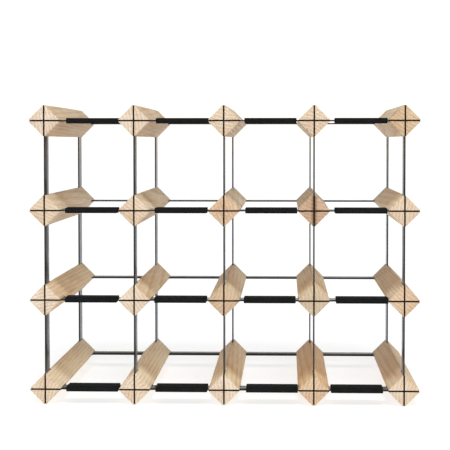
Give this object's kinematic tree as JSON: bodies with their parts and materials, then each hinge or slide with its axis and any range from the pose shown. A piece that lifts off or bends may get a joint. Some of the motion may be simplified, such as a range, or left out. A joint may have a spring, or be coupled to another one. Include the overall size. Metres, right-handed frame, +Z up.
{
  "type": "wine rack",
  "caption": "Tabletop wine rack of square bottle cells: wooden blocks on edge joined by flat steel straps in crossed saw kerfs, with loose sleeves on the front rails.",
  "frame": {"origin": "on the floor plane, under the middle of the rack", "axes": "+X to the right seen from the front, +Y towards the back, +Z up; the sleeves are at the front, at -Y"},
  "size_m": [0.422, 0.228, 0.3249],
  "materials": {
    "wood": "sawn and sanded pale softwood, unvarnished",
    "strap": "satin black powder coat on flat steel strap",
    "sleeve": "matte black flattened tube"
  },
  "bodies": {
    "frame": {"block_row1_col1": "wood", "block_row1_col2": "wood", "block_row1_col3": "wood", "block_row1_col4": "wood", "block_row1_col5": "wood", "block_row2_col1": "wood", "block_row2_col2": "wood", "block_row2_col3": "wood", "block_row2_col4": "wood", "block_row2_col5": "wood", "block_row3_col1": "wood", "block_row3_col2": "wood", "block_row3_col3": "wood", "block_row3_col4": "wood", "block_row3_col5": "wood", "block_row4_col1": "wood", "block_row4_col2": "wood", "block_row4_col3": "wood", "block_row4_col4": "wood", "block_row4_col5": "wood", "front_upright_1": "strap", "front_upright_2": "strap", "front_upright_3": "strap", "front_upright_4": "strap", "front_upright_5": "strap", "back_upright_1": "strap", "back_upright_2": "strap", "back_upright_3": "strap", "back_upright_4": "strap", "back_upright_5": "strap", "front_rail_1": "strap", "front_rail_2": "strap", "front_rail_3": "strap", "front_rail_4": "strap", "back_rail_1": "strap", "back_rail_2": "strap", "back_rail_3": "strap", "back_rail_4": "strap"},
    "sleeve_row1_gap1": {"sleeve_row1_gap1": "sleeve"},
    "sleeve_row1_gap2": {"sleeve_row1_gap2": "sleeve"},
    "sleeve_row1_gap3": {"sleeve_row1_gap3": "sleeve"},
    "sleeve_row1_gap4": {"sleeve_row1_gap4": "sleeve"},
    "sleeve_row2_gap1": {"sleeve_row2_gap1": "sleeve"},
    "sleeve_row2_gap2": {"sleeve_row2_gap2": "sleeve"},
    "sleeve_row2_gap3": {"sleeve_row2_gap3": "sleeve"},
    "sleeve_row2_gap4": {"sleeve_row2_gap4": "sleeve"},
    "sleeve_row3_gap1": {"sleeve_row3_gap1": "sleeve"},
    "sleeve_row3_gap2": {"sleeve_row3_gap2": "sleeve"},
    "sleeve_row3_gap3": {"sleeve_row3_gap3": "sleeve"},
    "sleeve_row3_gap4": {"sleeve_row3_gap4": "sleeve"},
    "sleeve_row4_gap1": {"sleeve_row4_gap1": "sleeve"},
    "sleeve_row4_gap2": {"sleeve_row4_gap2": "sleeve"},
    "sleeve_row4_gap3": {"sleeve_row4_gap3": "sleeve"},
    "sleeve_row4_gap4": {"sleeve_row4_gap4": "sleeve"}
  },
  "joints": [
    {"name": "sleeve_row1_gap1_slide", "type": "slide", "parent": "frame", "child": "sleeve_row1_gap1", "axis": [1, 0, 0], "range_m": [-0.0069, 0.0001]},
    {"name": "sleeve_row1_gap2_slide", "type": "slide", "parent": "frame", "child": "sleeve_row1_gap2", "axis": [1, 0, 0], "range_m": [-0.0069, 0.0001]},
    {"name": "sleeve_row1_gap3_slide", "type": "slide", "parent": "frame", "child": "sleeve_row1_gap3", "axis": [1, 0, 0], "range_m": [-0.0051, 0.0019]},
    {"name": "sleeve_row1_gap4_slide", "type": "slide", "parent": "frame", "child": "sleeve_row1_gap4", "axis": [1, 0, 0], "range_m": [-0.0053, 0.0017]},
    {"name": "sleeve_row2_gap1_slide", "type": "slide", "parent": "frame", "child": "sleeve_row2_gap1", "axis": [1, 0, 0], "range_m": [-0.0053, 0.0017]},
    {"name": "sleeve_row2_gap2_slide", "type": "slide", "parent": "frame", "child": "sleeve_row2_gap2", "axis": [1, 0, 0], "range_m": [-0.0053, 0.0017]},
    {"name": "sleeve_row2_gap3_slide", "type": "slide", "parent": "frame", "child": "sleeve_row2_gap3", "axis": [1, 0, 0], "range_m": [-0.006, 0.001]},
    {"name": "sleeve_row2_gap4_slide", "type": "slide", "parent": "frame", "child": "sleeve_row2_gap4", "axis": [1, 0, 0], "range_m": [-0.0055, 0.0015]},
    {"name": "sleeve_row3_gap1_slide", "type": "slide", "parent": "frame", "child": "sleeve_row3_gap1", "axis": [1, 0, 0], "range_m": [-0.0046, 0.0024]},
    {"name": "sleeve_row3_gap2_slide", "type": "slide", "parent": "frame", "child": "sleeve_row3_gap2", "axis": [1, 0, 0], "range_m": [-0.0046, 0.0024]},
    {"name": "sleeve_row3_gap3_slide", "type": "slide", "parent": "frame", "child": "sleeve_row3_gap3", "axis": [1, 0, 0], "range_m": [-0.0044, 0.0026]},
    {"name": "sleeve_row3_gap4_slide", "type": "slide", "parent": "frame", "child": "sleeve_row3_gap4", "axis": [1, 0, 0], "range_m": [-0.0069, 0.0001]},
    {"name": "sleeve_row4_gap1_slide", "type": "slide", "parent": "frame", "child": "sleeve_row4_gap1", "axis": [1, 0, 0], "range_m": [-0.0056, 0.0014]},
    {"name": "sleeve_row4_gap2_slide", "type": "slide", "parent": "frame", "child": "sleeve_row4_gap2", "axis": [1, 0, 0], "range_m": [-0.0056, 0.0014]},
    {"name": "sleeve_row4_gap3_slide", "type": "slide", "parent": "frame", "child": "sleeve_row4_gap3", "axis": [1, 0, 0], "range_m": [-0.0068, 0.0002]},
    {"name": "sleeve_row4_gap4_slide", "type": "slide", "parent": "frame", "child": "sleeve_row4_gap4", "axis": [1, 0, 0], "range_m": [-0.0016, 0.0054]}
  ]
}
